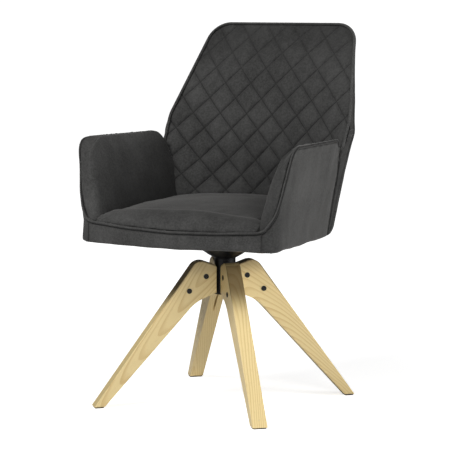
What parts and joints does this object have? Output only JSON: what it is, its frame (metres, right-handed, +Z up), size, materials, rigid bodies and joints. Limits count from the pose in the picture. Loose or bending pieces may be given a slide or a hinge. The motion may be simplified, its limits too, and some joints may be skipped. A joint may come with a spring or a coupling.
{
  "type": "swivel dining chair",
  "caption": "Upholstered tub dining chair with arms, a quilted back and a piped seat, turning on a base of splayed flat wooden legs bolted round a steel column.",
  "frame": {"origin": "on the floor, in the middle of the chair's box", "axes": "+Z up, -Y towards where a sitter faces, +X to the right seen from the front"},
  "size_m": [0.5788, 0.553, 0.8962],
  "materials": {
    "leg_wood": "clear satin lacquer on pale beech",
    "glide_plastic": "matt black",
    "plywood": "raw plywood",
    "rail_wood": "raw planed wood",
    "black_metal": "satin black powder coat",
    "bearing_plastic": "natural",
    "zinc_steel": "zinc plated",
    "dust_cloth": "thin black felted cloth",
    "piping_fabric": "charcoal brushed fabric",
    "cover_fabric": "charcoal brushed fabric"
  },
  "bodies": {
    "base": {"leg_front_left": "leg_wood", "leg_front_right": "leg_wood", "leg_rear_left": "leg_wood", "leg_rear_right": "leg_wood", "glide_front_left": "glide_plastic", "glide_front_right": "glide_plastic", "glide_rear_left": "glide_plastic", "glide_rear_right": "glide_plastic", "fin_front_left": "black_metal", "fin_front_right": "black_metal", "fin_rear_left": "black_metal", "fin_rear_right": "black_metal", "glide_screws": "zinc_steel", "leg_bolts": "black_metal", "leg_sleeve_nuts": "black_metal", "centre_column": "black_metal", "column_end_cap": "black_metal", "neck_collar": "black_metal", "upper_bush": "bearing_plastic", "lower_bush": "bearing_plastic", "lower_race": "zinc_steel"},
    "bearing_cage": {"ball_cage": "bearing_plastic", "bearing_balls": "zinc_steel"},
    "seat": {"upper_race": "zinc_steel", "spindle": "zinc_steel", "retaining_ring": "zinc_steel", "spindle_washer": "zinc_steel", "swivel_dish": "black_metal", "mounting_plate": "black_metal", "plate_bolts": "zinc_steel", "tee_nuts": "zinc_steel", "dust_cover": "dust_cloth", "seat_board": "plywood", "front_rail": "rail_wood", "rear_rail": "rail_wood", "rail_screws": "zinc_steel", "arm_outer_left": "cover_fabric", "arm_outer_right": "cover_fabric", "arm_core_left": "plywood", "arm_core_right": "plywood", "arm_pad_left": "cover_fabric", "arm_pad_right": "cover_fabric", "arm_screws": "zinc_steel", "seat_apron": "cover_fabric", "seat_cushion": "cover_fabric", "back_pad": "cover_fabric", "back_core": "plywood", "back_shell": "cover_fabric", "back_screws": "zinc_steel", "piping_front": "piping_fabric", "piping_back": "piping_fabric"}
  },
  "joints": [
    {"name": "seat_swivel", "type": "hinge", "parent": "base", "child": "seat", "pos_m": [0, -0.02843, 0.34], "axis": [0, 0, 1], "continuous": true},
    {"name": "cage_turn", "type": "hinge", "parent": "base", "child": "bearing_cage", "pos_m": [0, -0.02843, 0.3463], "axis": [0, 0, 1], "continuous": true}
  ],
  "couplings": [
    {"joint": "cage_turn", "follows": "seat_swivel", "ratio": 0.5}
  ]
}
